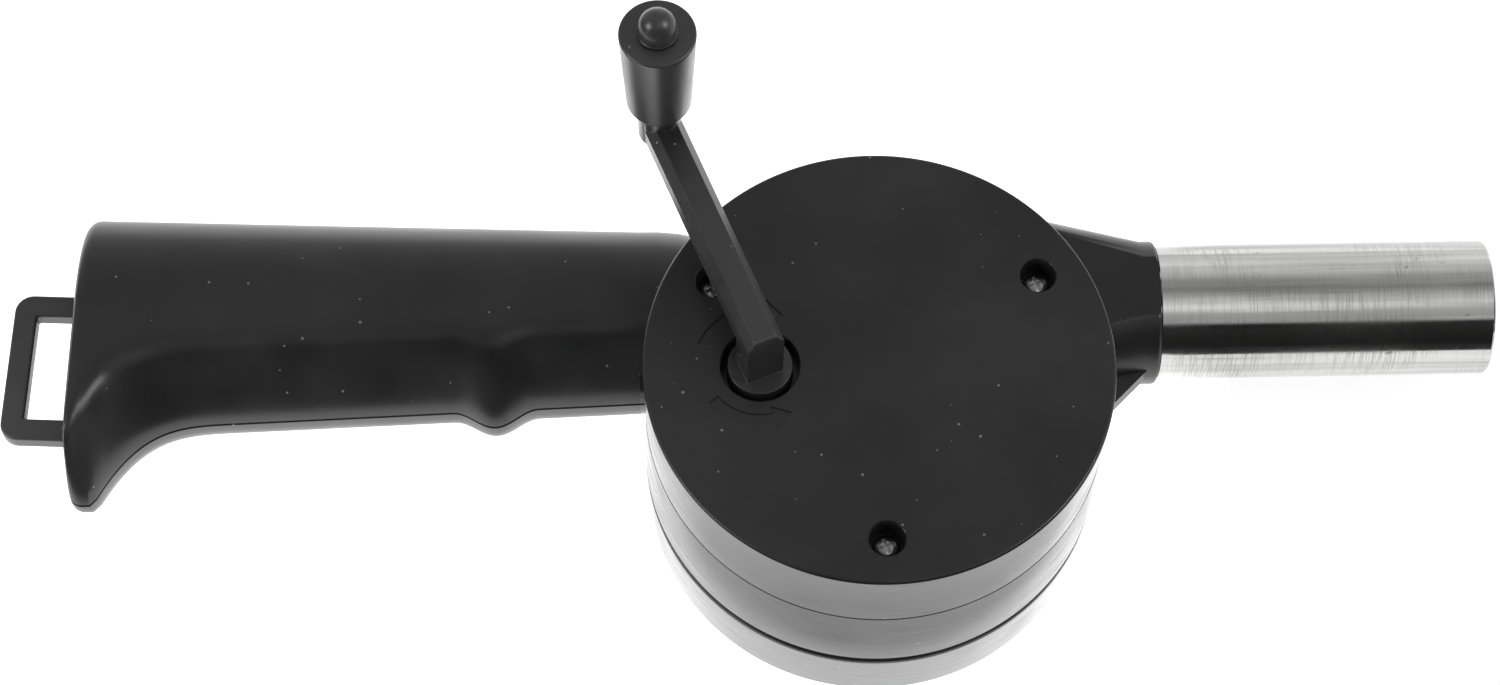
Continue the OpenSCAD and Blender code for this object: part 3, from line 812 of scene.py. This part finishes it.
def handle_half(name, side):
    """One handle half: a half ring that is drawn along the handle and stretched at each station."""
    count = 56
    level = SEAM_Z if side > 0 else SEAM_Z - BAND_H
    height = HANDLE_UP if side > 0 else HANDLE_DOWN - BAND_H
    stations = handle_stations()
    x = stations[0]
    clear()
    bpy.ops.mesh.primitive_circle_add(
        vertices=2 * count,
        radius=MM,
        location=place(x, TUBE_Y, level),
        rotation=(0, math.pi / 2, 0),
    )
    piece = bpy.context.active_object
    piece.name = name
    settle(piece)
    open_mesh(piece)
    pick(piece, "VERT", lambda p, v: side * (p.z - level) < -HAIR)
    bpy.ops.mesh.delete(type="VERT")
    angles = [math.pi * i / count for i in range(1, count // 2)]
    front = [front_reach(x, a) for a in angles]
    for way in (-1, 1):
        if way > 0 and side > 0:
            continue  # the back of the upper half stays round
        for a, (wide, high) in zip(angles, front):
            c, s = math.cos(a), math.sin(a)
            if side < 0:
                wide, high = c ** (2 / SIDE_POWER), s ** (2 / SIDE_POWER)
            pick(
                piece,
                "VERT",
                lambda p, v: abs(way * (p.y - TUBE_Y) - c) < HAIR
                and abs(side * (p.z - level) - s) < HAIR,
            )
            stretch((1, wide / c, high / s), (x, TUBE_Y, level))
    if side < 0:
        pick(piece, "VERT", lambda p, v: abs(p.z - level) < HAIR)
        push_out(dz=BAND_H)
    pick(piece, "VERT", lambda p, v: len(v.link_edges) == 1)
    bpy.ops.mesh.edge_face_add()
    old = (1.0, 1.0, 1.0)
    for i, station in enumerate(stations):
        bpy.ops.mesh.select_mode(type="VERT")
        if i == 0:
            bpy.ops.mesh.select_all(action="SELECT")
        else:
            pick(piece, "VERT", lambda p, v: abs(p.x - x) < HAIR)
            push_out(dx=station - x)
        x = station
        new = (front_half(x), back_half(x), height - fall(x))
        pick(piece, "VERT", lambda p, v: abs(p.x - x) < HAIR and side * (p.z - level) > HAIR / 10)
        stretch((1, 1, new[2] / old[2]), (x, TUBE_Y, level))
        pick(piece, "VERT", lambda p, v: abs(p.x - x) < HAIR and p.y < TUBE_Y - HAIR / 10)
        stretch((1, new[0] / old[0], 1), (x, TUBE_Y, level))
        pick(piece, "VERT", lambda p, v: abs(p.x - x) < HAIR and p.y > TUBE_Y + HAIR / 10)
        stretch((1, new[1] / old[1], 1), (x, TUBE_Y, level))
        old = new
        if side > 0 and x < CREASE_L - HANDLE_END:
            for j, (was_wide, was_high) in enumerate(front):
                wide, high = front_reach(x, angles[j])
                at_y, at_z = TUBE_Y - was_wide * new[0], level + was_high * new[2]
                pick(
                    piece,
                    "VERT",
                    lambda p, v: abs(p.x - x) < HAIR
                    and abs(p.y - at_y) < 20 * HAIR
                    and abs(p.z - at_z) < 20 * HAIR,
                )
                stretch((1, wide / was_wide, high / was_high), (x, TUBE_Y, level))
                front[j] = (wide, high)
    for station in stations:
        if station < LEAN_L - HANDLE_END:
            pick(piece, "VERT", lambda p, v: abs(p.x - station) < HAIR)
            swing(END_LEAN * (LEAN_L - HANDLE_END - station) / LEAN_L, (station, TUBE_Y, level))
    close_up(piece)
    open_mesh(piece)
    seam = SEAM_CUT_UPPER if side > 0 else SEAM_CUT_LOWER
    pick(
        piece,
        "EDGE",
        lambda p, e: all(abs(v.co.z / MM - SEAM_Z) < 10 * HAIR for v in e.verts)
        and abs(e.verts[0].co.x - e.verts[1].co.x) > 1e-6,
    )
    bpy.ops.mesh.bevel(offset=seam * MM, segments=1, affect="EDGES")
    clear()
    return piece


# The neck with its spigot and webs


def neck():
    """The whole neck: a round end that grows to a rounded block, sliced flat above and below."""
    count = 72
    edge = 0.7
    straight = 2.4
    profile = [
        *arc(NECK_R - edge, NECK_X - edge, edge, 90, 0, 4),
        (NECK_R, NECK_X - straight),
    ]
    clear()
    x = profile[0][1]
    bpy.ops.mesh.primitive_circle_add(
        vertices=count,
        radius=profile[0][0] * MM,
        location=place(x, TUBE_Y, SEAM_Z),
        rotation=(0, math.pi / 2, 0),
    )
    piece = bpy.context.active_object
    piece.name = "neck"
    settle(piece)
    open_mesh(piece)
    r = profile[0][0]
    for next_r, next_x in profile[1:]:
        push_out(dx=next_x - x)
        stretch((1, next_r / r, next_r / r), (next_x, TUBE_Y, SEAM_Z))
        r, x = next_r, next_x
    push_out(dx=NECK_FROM - x)
    x = NECK_FROM
    power = 2 / NECK_POWER
    for i in range(count // 4 + 1):
        a = math.tau * i / count
        c, s = abs(math.cos(a)), abs(math.sin(a))
        pick(
            piece,
            "VERT",
            lambda p, v: abs(p.x - x) < HAIR
            and abs(abs(p.y - TUBE_Y) - r * c) < 10 * HAIR
            and abs(abs(p.z - SEAM_Z) - r * s) < 10 * HAIR,
        )
        wide = NECK_HALF_W * c**power / (r * c) if c > 1e-6 else 1
        high = NECK_HALF_H * s**power / (r * s) if s > 1e-6 else 1
        stretch((1, wide, high), (x, TUBE_Y, SEAM_Z))
    pick(piece, "VERT", lambda p, v: abs(p.x - x) < HAIR)
    push_out(dx=NECK_IN - x)
    stretch((1, NECK_IN_HALF_W / NECK_HALF_W, 1), (NECK_IN, TUBE_Y, SEAM_Z))
    close_up(piece)
    for z, above in ((SEAM_Z - NECK_FLAT, True), (SEAM_Z + NECK_FLAT, False)):
        slice_off(piece, z, above)
    spigot = bar("tool", SPIGOT_R, NECK_X - 1, NECK_X + SPIGOT_L, (TUBE_Y, SEAM_Z), "X", 64)
    return carve(piece, spigot, "UNION")


def web(low, high):
    """The flat web that runs out from the drum to a point beside the neck."""
    x, y = NECK_X - WEB_POINT, TUBE_Y - NECK_R + 0.1
    outline = [
        (x, y),
        (x, TUBE_Y),
        (NECK_FROM, TUBE_Y),
        (NECK_FROM, y - WEB_RUN),
        (x - WEB_RUN, y - WEB_RUN),
    ]
    return plate("tool", outline, low, high)


def duct():
    """The air duct through neck and spigot, as a tool."""
    return bar("tool", DUCT_R, NECK_IN - 2, NECK_X + SPIGOT_L + 2, (TUBE_Y, SEAM_Z), "X", 64)


def drum_core():
    """The drum's inside, as a tool that leaves what is welded on a little way into its wall."""
    overlap = 0.6
    return bar("tool", DRUM_R - overlap, -5, 60, (0, 0), sides=160)


def shells():
    """Both housing mouldings: drum, neck and handle welded into one piece each."""
    whole_neck = neck()
    results = []
    for drum, side in ((base_cup(), -1), (middle_wall(), 1)):
        half_neck = slice_off(twin(whole_neck, "half_neck"), SEAM_Z, side > 0)
        low, high = (SEAM_Z - BAND_H, SEAM_Z) if side < 0 else (SEAM_Z, SEAM_Z + WEB_H)
        carve(half_neck, web(low, high), "UNION")
        carve(half_neck, duct())
        carve(half_neck, drum_core())
        grip = handle_half("grip", side)
        carve(grip, drum_core())
        if side < 0:
            for spot in HANDLE_SCREW_SPOTS:
                carve(grip, bar("tool", BORE_R, -1, HANDLE_SEAT, spot, sides=40))
        carve(drum, half_neck, "UNION")
        carve(drum, grip, "UNION")
        carve(drum, duct())
        if side < 0:
            pierce_base(drum)
        results.append(shade(drum, 32))
    bpy.data.objects.remove(whole_neck, do_unlink=True)
    return results


# The small pieces


def loop():
    """Flat loop: a plate with round corners and a square opening, edges softened."""
    clear()
    middle = ((LOOP_LOW + LOOP_HIGH) / 2, LOOP_Y, SEAM_Z)
    bpy.ops.mesh.primitive_cube_add(size=MM, location=place(*middle))
    piece = bpy.context.active_object
    piece.name = "loop"
    settle(piece)
    open_mesh(piece)
    stretch((LOOP_HIGH - LOOP_LOW, 2 * LOOP_HALF, LOOP_T), middle)
    pick(piece, "EDGE", lambda p, e: abs(p.z - SEAM_Z) < HAIR)
    bpy.ops.mesh.bevel(offset=LOOP_CORNER * MM, segments=8, affect="EDGES")
    clear()
    low, high = LOOP_LOW + LOOP_BAR, LOOP_HIGH - LOOP_BAR
    front, back = LOOP_Y - LOOP_HALF + LOOP_BAR, LOOP_Y + LOOP_HALF - LOOP_BAR
    hole = [(low, front), (high, front), (high, back), (low, back)]
    carve(piece, plate("tool", hole, SEAM_Z - LOOP_T, SEAM_Z + LOOP_T))
    open_mesh(piece)
    swing(LOOP_TILT, (LOOP_ROOT, LOOP_Y, SEAM_Z))
    clear()
    soften(piece, 0.45, 3)
    return shade(piece)


def tube():
    """Thin steel tube with rolled edges; the long wall is framed by two rings for its shading."""
    edge = 0.16
    ring = 2
    out, inside = TUBE_R, TUBE_IN_R
    low, high = NECK_X + 0.02, NECK_X + TUBE_L
    profile = [
        (out - edge, low),
        (out, low + edge),
        (out, low + ring),
        (out, high - ring),
        (out, high - 2 * edge),
        (out - edge, high - 0.05),
        (out - 2 * edge, high),
        (inside + edge, high),
        (inside, high - edge),
        (inside, low),
        (out - edge, low),
    ]
    return shade(turned("tube", profile, (TUBE_Y, SEAM_Z), "X", 128), 30)


def knob():
    """Tapered knob: rounded foot, straight body, rounded top rim and a seat for the pin's head."""
    bore = PIN_R + 0.03
    top = 0.4
    seat_r = DOME_R + 0.2
    seat_z = KNOB_TOP - 0.25
    foot_r = KNOB_FOOT_R - KNOB_CHAMFER
    profile = [
        (bore, KNOB_LOW),
        (foot_r - 0.3, KNOB_LOW),
        (foot_r + 0.05, KNOB_LOW + 0.25),
        (KNOB_FOOT_R - 0.2, KNOB_LOW + KNOB_CHAMFER_H - 0.4),
        (KNOB_FOOT_R, KNOB_LOW + KNOB_CHAMFER_H + 0.1),
        (KNOB_R - 0.01, KNOB_TOP - top - 0.3),
        *arc(KNOB_R - top, KNOB_TOP - top, top, 0, 90, 4),
        (seat_r, KNOB_TOP),
        (seat_r - 0.3, seat_z),
        (bore, seat_z),
        (bore, KNOB_LOW),
    ]
    return shade(turned("knob", profile, KNOB_POS, sides=96), 34)


def dome_pin():
    """Pin with a domed head on a short foot."""
    foot_z = KNOB_TOP + 0.3
    foot_r = DOME_R + 0.2
    dome_z = foot_z + DOME_R - DOME_SINK
    tip = math.radians(87)
    profile = [
        (PIN_R, PIN_LOW),
        (PIN_R, foot_z),
        (foot_r, foot_z),
        (foot_r, foot_z + 0.1),
        (DOME_R + 0.02, foot_z + 0.3),
        (DOME_R, foot_z + 0.5),
        *arc(0, dome_z, DOME_R, 0, 80, 8),
        (DOME_R * math.cos(tip), dome_z + DOME_R * math.sin(tip)),
    ]
    return shade(turned("dome_pin", profile, KNOB_POS, sides=72), 34)


def crank():
    """Crank arm with a rounded top end over its post, edges softened."""
    piece = from_node("crank_arm", "crank")
    open_mesh(piece)

    def at_end(v):
        dx, dy = v.co.x / MM - CRANK_POS[0], v.co.y / MM - CRANK_POS[1]
        ahead = dy * math.cos(CRANK_TURN) - dx * math.sin(CRANK_TURN)
        return abs(ahead + ARM_FRONT) < 0.05

    pick(piece, "EDGE", lambda p, e: p.z > ARM_TOP - 0.05 and all(at_end(v) for v in e.verts))
    bpy.ops.mesh.bevel(offset=ARM_END_ROUND * MM, segments=5, affect="EDGES")
    clear()
    soften(piece, 0.3, 3)
    return shade(piece, 30)


def screw_set(name, spots, seat, tip, way):
    """Pan head screws, modelled once with a cross recess and copied to their places."""
    head_r, head_h, shank_r, core = 2.2, 2.1, 1.05, 0.5
    profile = [
        (core, tip),
        (shank_r, tip + way * 1.2),
        (shank_r, seat),
        (head_r, seat),
        (head_r, seat + way * head_h * 0.35),
        (head_r * 0.96, seat + way * head_h * 0.55),
        (head_r * 0.84, seat + way * head_h * 0.76),
        (head_r * 0.62, seat + way * head_h * 0.91),
        (head_r * 0.34, seat + way * head_h * 0.99),
        (0.1, seat + way * head_h),
    ]
    first = turned(name, profile, (0, 0), sides=48)
    top = seat + way * head_h
    arm, half, deep = 1.25, 0.26, 1.1
    for turn in (0.4, 0.4 + math.pi / 2):
        c, s = math.cos(turn), math.sin(turn)
        corners = ((-arm, -half), (arm, -half), (arm, half), (-arm, half))
        cross = [(a * c - b * s, a * s + b * c) for a, b in corners]
        low, high = sorted((top - way * deep, top + way * 1.0))
        carve(first, plate("tool", cross, low, high))
    others = []
    for x, y in spots[1:]:
        other = twin(first, name + "_copy")
        other.data.transform(Matrix.Translation(place(x, y, 0)))
        others.append(other)
    first.data.transform(Matrix.Translation(place(*spots[0], 0)))
    take(first)
    for other in others:
        other.select_set(True)
    bpy.ops.object.join()
    return shade(first, 34)


def smooth_sides(piece):
    """Gives the drum's round sides the smoother finish."""
    skin = 1.2
    piece.data.materials.append(DRUM_BLACK)
    side = piece.data.materials.find(DRUM_BLACK.name)
    for face in piece.data.polygons:
        middle = face.center / MM
        on_drum = abs(math.hypot(middle.x, middle.y) - DRUM_R) < skin
        if on_drum and abs(face.normal.z) < 0.6:
            face.material_index = side


lower_shell, upper_shell = shells()
fit_out(lower_shell, "housing", "housing_plastic", HOUSING_BLACK, "lower_housing")
fit_out(upper_shell, "housing", "housing_plastic", HOUSING_BLACK, "upper_housing")
cover_shell = fit_out(shade(cover()), "housing", "housing_plastic", HOUSING_BLACK, "gear_cover")
for drum_piece in (lower_shell, upper_shell, cover_shell):
    smooth_sides(drum_piece)
# The loop is housing plastic, drawn with the lighter copy whose raised tone is painted light
fit_out(loop(), "housing", "housing_plastic", LOOP_PAINTED_LIGHTER, "hanging_loop")
fit_out(tube(), "housing", "tube_steel", TUBE_STEEL, "air_tube")
fit_out(knob(), "knob", "crank_plastic", CRANK_BLACK, "crank_knob")
fit_out(dome_pin(), "crank", "crank_plastic", CRANK_BLACK, "knob_pin")
fit_out(crank(), "crank", "crank_plastic", CRANK_BLACK, "crank_arm")
for node, spots, seat, tip, way in (
    ("cover_screws", SCREW_SPOTS, COVER_SEAT, COVER_SEAT - SCREW_L, 1),
    ("housing_screws", SCREW_SPOTS, HOUSING_SEAT, HOUSING_SEAT + SCREW_L, -1),
    ("handle_screws", HANDLE_SCREW_SPOTS, HANDLE_SEAT, HANDLE_SEAT + HANDLE_SCREW_L, -1),
):
    screws = screw_set(node + "_set", spots, seat, tip, way)
    fit_out(screws, "housing", "hardware_steel", SCREW_STEEL, node)

for node, finish in (
    ("lower_bush", BUSH_BRONZE),
    ("upper_bush", BUSH_BRONZE),
    ("impeller_shaft", SCREW_STEEL),
    ("impeller", GEAR_NATURAL),
    ("impeller_pinion", GEAR_NATURAL),
    ("shaft_washer", SCREW_STEEL),
    ("idler_axle", SCREW_STEEL),
    ("idler_gear", GEAR_NATURAL),
    ("crank_gear", GEAR_NATURAL),
    ("crank_washer", SCREW_STEEL),
    ("crank_screw", SCREW_STEEL),
):
    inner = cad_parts[node]
    inner.data.materials.clear()
    inner.data.materials.append(finish)


# Studio: pale floor, soft light all round, two side lamps and the photo's camera


# Soft light in degrees from the front horizon over the top to the back: in the strip of sky
# that the tube mirrors, and on both sides of it
TUBE_SKY = (
    (0, 0.15),
    (42, 0.2),
    (46, 0.6),
    (56, 0.66),
    (64, 0.8),
    (73, 0.9),
    (84, 0.66),
    (94, 0.38),
    (104, 0.21),
    (110, 0.36),
    (119, 0.36),
    (126, 0.42),
    (132, 0.55),
    (140, 0.7),
    (153, 0.85),
    (165, 0.9),
    (178, 0.95),
)
SIDE_SKY = (
    (0, 0.15),
    (42, 0.2),
    (56, 0.22),
    (94, 0.3),
    (104, 0.46),
    (112, 0.52),
    (118, 0.45),
    (126, 0.38),
    (140, 0.4),
    (153, 0.46),
    (165, 0.5),
    (178, 0.56),
)
STRIP_AT = 0.2
STRIP_HALF = (0.09, 0.2)

# Glow of the floor: to the right and left of a line in front of the tube, and the change
# from it in two rings before the drum, which its sides mirror
RIGHT_GLOW = 0.85
LEFT_GLOW = 1.6
GLOW_LINE = (62, 46)
NEAR_RING = ((DRUM_R + 6, 0.55), (DRUM_R + 9, -0.6))
FAR_RING = ((DRUM_R + 12, 0.0), (DRUM_R + 17, 0.6))
RING_FRONT = (-0.17, -0.5)

# Dark cards that only reflections see: middle in millimetres, size in metres, height of the
# upright part and the test for the edge where it stands
CARDS = (
    ("front_card", (0, -550, 2), (2.6, 0.95), 950, lambda p, e: p.y < -900),
    ("left_card", (-800, 100, 3), (1.15, 1.6), 300, lambda p, e: p.x < -1300),
    ("tube_card", (360, -85, 1), (0.6, 0.06), 0, None),
)

LAMPS = (
    ("left_lamp", (-0.775, -0.26, 0.574)),
    ("right_lamp", (0.704, -0.143, 0.694)),
)
LAMP_AWAY = 1.1
LAMP_SIDE = 0.4
LAMP_GLOW = 6.0

# The camera that was fitted to the photo
CAMERA_PLACE = (-30.353, -229.096, 534.496)
CAMERA_RIGHT = (0.999664, -0.023843, 0.010159)
CAMERA_UP = (0.017115, 0.901675, 0.432069)
CAMERA_BACK = (-0.019460, -0.431750, 0.901783)
CAMERA_LENS = 84.0
CAMERA_FILM = 36.0


def paper_floor():
    """Pale floor with a glow of its own, so that it stays white."""
    clear()
    bpy.ops.mesh.primitive_plane_add(size=8)
    floor = bpy.context.active_object
    floor.name = "floor"
    paper, shader, coord = start_finish("paper", (0.3, 0.3, 0.3), 0.8)
    shader.inputs["Emission Color"].default_value = (1, 1, 1, 1)
    spot = add(paper, "ShaderNodeSeparateXYZ", {"Vector": coord}).outputs
    flat = add(paper, "ShaderNodeCombineXYZ", {"X": spot["X"], "Y": spot["Y"]}).outputs["Vector"]
    reach = add(paper, "ShaderNodeVectorMath", {0: flat}, operation="LENGTH").outputs["Value"]
    ahead = sums(paper, "DIVIDE", spot["Y"], reach)
    front = span(paper, ahead, *RING_FRONT, 0.0, 1.0)
    near, far = (
        span(paper, reach, start * MM, end * MM, glow, end_glow)
        for (start, glow), (end, end_glow) in (NEAR_RING, FAR_RING)
    )
    rings = sums(paper, "MULTIPLY", front, sums(paper, "ADD", near, far))
    start, end = GLOW_LINE
    plain = span(paper, spot["X"], start * MM, end * MM, RIGHT_GLOW, LEFT_GLOW)
    glow = sums(paper, "ADD", rings, plain)
    paper.node_tree.links.new(glow, shader.inputs["Emission Strength"])
    floor.data.materials.append(paper)


def dark_cards():
    """Cards on the floor that give the sides their dark reflections."""
    soot, _, _ = start_finish("soot", (0.01, 0.01, 0.01), 0.9)
    for name, middle, size, height, edge in CARDS:
        clear()
        bpy.ops.mesh.primitive_plane_add(size=1, location=place(*middle))
        card = settle(bpy.context.active_object)
        card.name = name
        open_mesh(card)
        stretch((*size, 1), middle)
        if edge:
            pick(card, "EDGE", edge)
            push_out(dz=height)
        clear()
        card.data.materials.append(soot)
        card.visible_camera = False
        card.visible_diffuse = False
        card.visible_shadow = False
        card.visible_transmission = False


def soft_sky():
    """Sky that is lit by height, with a strip of its own over the tube."""
    world = bpy.data.worlds.new("studio")
    bpy.context.scene.world = world
    world.use_nodes = True
    sky = world.node_tree.nodes["Background"]
    sky.inputs["Color"].default_value = (1, 1, 1, 1)
    aim = add(world, "ShaderNodeTexCoord").outputs["Generated"]
    aim = add(world, "ShaderNodeSeparateXYZ", {"Vector": aim}).outputs
    lift = sums(world, "ARCTAN2", aim["Z"], sums(world, "MULTIPLY", aim["Y"], -1.0))
    lift = sums(world, "DIVIDE", lift, math.pi)
    glows = []
    for tones in (TUBE_SKY, SIDE_SKY):
        ramp = add(world, "ShaderNodeValToRGB", {"Fac": lift})
        stops = ramp.color_ramp.elements
        for degrees, glow in tones:
            stop = stops[0] if degrees == tones[0][0] else stops.new(degrees / 180)
            stop.position = degrees / 180
            stop.color = (glow, glow, glow, 1)
        stops.remove(stops[len(stops) - 1])
        glows.append(ramp.outputs["Color"])
    off_strip = sums(world, "ABSOLUTE", sums(world, "SUBTRACT", aim["X"], STRIP_AT), 0.0)
    aside = span(world, off_strip, *STRIP_HALF, 0.0, 1.0)
    both = add(world, "ShaderNodeMix", {0: aside, 2: glows[0], 3: glows[1]})
    world.node_tree.links.new(both.outputs[0], sky.inputs["Strength"])


def side_lamps():
    """Two soft lamps, one on each side."""
    for name, toward in LAMPS:
        lamp = bpy.data.lights.new(name, "AREA")
        lamp.shape = "RECTANGLE"
        lamp.size = LAMP_SIDE
        lamp.size_y = LAMP_SIDE
        lamp.energy = LAMP_GLOW * math.pi * LAMP_SIDE * LAMP_SIDE
        holder = bpy.data.objects.new(name, lamp)
        bpy.context.scene.collection.objects.link(holder)
        holder.visible_camera = False
        holder.location = Vector(toward).normalized() * LAMP_AWAY
        holder.rotation_mode = "QUATERNION"
        holder.rotation_quaternion = (-Vector(toward)).to_track_quat("-Z", "Y")


def photo_camera():
    """The camera at the photo's viewing angle."""
    lens = bpy.data.cameras.new("photo_camera")
    lens.lens = CAMERA_LENS
    lens.sensor_width = CAMERA_FILM
    lens.clip_start, lens.clip_end = 0.01, 50
    camera = bpy.data.objects.new("photo_camera", lens)
    bpy.context.scene.collection.objects.link(camera)
    turn = Matrix((CAMERA_RIGHT, CAMERA_UP, CAMERA_BACK)).transposed().to_4x4()
    camera.matrix_world = Matrix.Translation(place(*CAMERA_PLACE)) @ turn
    bpy.context.scene.camera = camera
    bpy.context.scene.view_settings.view_transform = "Standard"


paper_floor()
dark_cards()
soft_sky()
side_lamps()
photo_camera()
clear()
